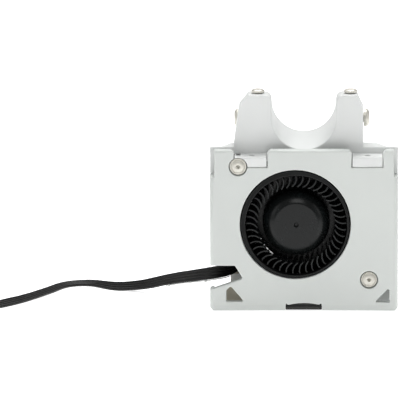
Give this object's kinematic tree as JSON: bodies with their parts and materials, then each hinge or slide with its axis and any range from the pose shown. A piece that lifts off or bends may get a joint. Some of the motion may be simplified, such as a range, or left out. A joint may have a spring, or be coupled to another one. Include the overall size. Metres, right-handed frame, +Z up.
{
  "type": "printer hotend carriage",
  "caption": "White hotend carriage with a bearing saddle on top, a round blower behind a square front cover, a rear cooling fan, and a flat cable that leaves at the left.",
  "frame": {"origin": "middle of the footprint of the carriage without its cable, on the surface it stands on", "axes": "+Z up, -Y towards the round blower opening in the front cover, +X to the right as seen from the front"},
  "size_m": [0.1993, 0.0706, 0.0733],
  "materials": {
    "cover_plastic": "satin moulded white plastic",
    "body_plastic": "satin moulded white plastic",
    "duct_plastic": "matt black moulded plastic",
    "fan_plastic": "satin black moulded plastic",
    "impeller_plastic": "satin black moulded plastic",
    "nickel_steel": "nickel-plated steel with a warm tone",
    "dark_steel": "blackened steel",
    "shaft_steel": "ground steel",
    "bronze": "sintered bronze",
    "brass": "turned brass",
    "copper_winding": "enamelled copper wire",
    "bare_aluminium": "turned aluminium",
    "circuit_board": "green solder mask",
    "silicone": "matt blue silicone",
    "white_liner": "translucent white fluoropolymer",
    "collet_plastic": "black acetal",
    "connector_plastic": "natural nylon",
    "cable_jacket": "satin black vinyl, bonded cores"
  },
  "bodies": {
    "carriage": {"front_cover": "cover_plastic", "carriage_body": "body_plastic", "rear_cover": "body_plastic", "hotend_clamp": "body_plastic", "air_duct": "duct_plastic", "cover_screw_upper": "nickel_steel", "cover_screw_lower": "nickel_steel", "ear_side_screw_right": "nickel_steel", "ear_side_screw_left": "nickel_steel", "ear_top_screw_left": "nickel_steel", "ear_top_screw_right": "nickel_steel", "board_screw_front": "nickel_steel", "board_screw_back": "nickel_steel", "clamp_screw_left": "dark_steel", "clamp_screw_right": "dark_steel", "rear_cover_screw_lower_left": "dark_steel", "rear_cover_screw_lower_right": "dark_steel", "rear_cover_screw_upper_left": "dark_steel", "rear_cover_screw_upper_right": "dark_steel", "rear_fan_screw_lower_left": "dark_steel", "rear_fan_screw_lower_right": "dark_steel", "rear_fan_screw_upper_left": "dark_steel", "rear_fan_screw_upper_right": "dark_steel", "blower_casing": "fan_plastic", "blower_back_plate": "fan_plastic", "blower_bearing": "bronze", "blower_coil": "copper_winding", "blower_circuit_board": "circuit_board", "rear_fan_frame": "fan_plastic", "rear_fan_coil": "copper_winding", "heatsink": "bare_aluminium", "heater_block": "bare_aluminium", "heat_break": "shaft_steel", "heater_cartridge": "shaft_steel", "thermistor": "shaft_steel", "silicone_sock": "silicone", "nozzle": "brass", "coupler_body": "brass", "filament_liner": "white_liner", "cable_board": "circuit_board", "cable_socket": "connector_plastic", "ribbon_cable": "cable_jacket", "ribbon_coil": "cable_jacket", "cable_connector": "connector_plastic"},
    "blower_rotor": {"impeller": "impeller_plastic", "blower_shaft": "shaft_steel"},
    "rear_rotor": {"rear_fan_rotor": "impeller_plastic", "rear_fan_shaft": "shaft_steel"},
    "collet": {"coupler_collet": "collet_plastic"}
  },
  "joints": [
    {"name": "blower_spin", "type": "hinge", "parent": "carriage", "child": "blower_rotor", "pos_m": [-0.0026, -0.0261, 0.0289], "axis": [0, -1, 0], "continuous": true},
    {"name": "rear_fan_spin", "type": "hinge", "parent": "carriage", "child": "rear_rotor", "pos_m": [0, 0.0285, 0.029], "axis": [0, -1, 0], "continuous": true},
    {"name": "collet_press", "type": "slide", "parent": "carriage", "child": "collet", "axis": [0, 0, -1], "range_m": [0, 0.0007], "stiffness_N_per_m": 400}
  ]
}
